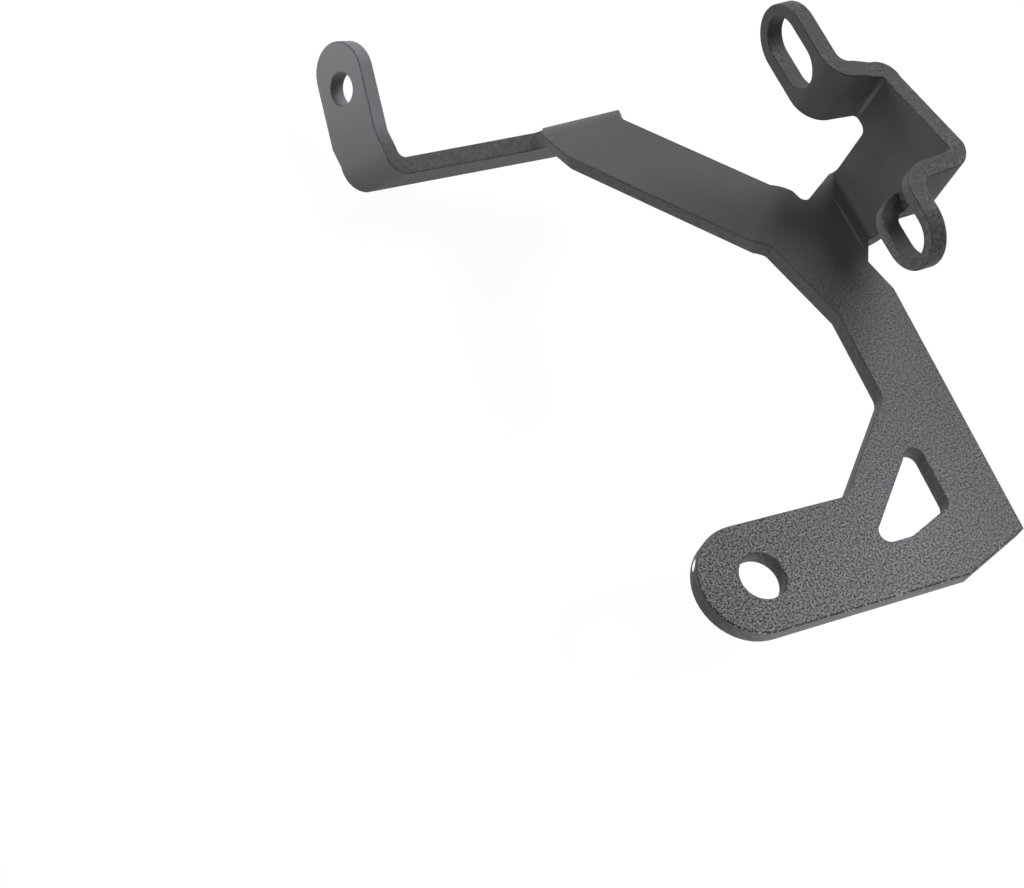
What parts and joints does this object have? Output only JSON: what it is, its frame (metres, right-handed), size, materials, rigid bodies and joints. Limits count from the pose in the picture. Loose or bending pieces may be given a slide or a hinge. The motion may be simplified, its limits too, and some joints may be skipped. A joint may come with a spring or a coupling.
{
  "type": "driving light bracket",
  "caption": "Folded steel bracket for a motorbike driving light, with a bolt foot, a windowed arm, a top-hat channel with slotted ears and a skew strap ending in a drilled tab.",
  "frame": {"origin": "centre of the foot's bolt hole, on the front face of the main plate", "axes": "+Z out of the plate's front face along the foot hole, +Y along the line of the slotted ears, -X the way the ears face"},
  "size_m": [0.077, 0.1616, 0.0864],
  "materials": {
    "powder_coat": "textured matt powder coat"
  },
  "bodies": {
    "root": {"light_bracket": "powder_coat"}
  },
  "joints": []
}
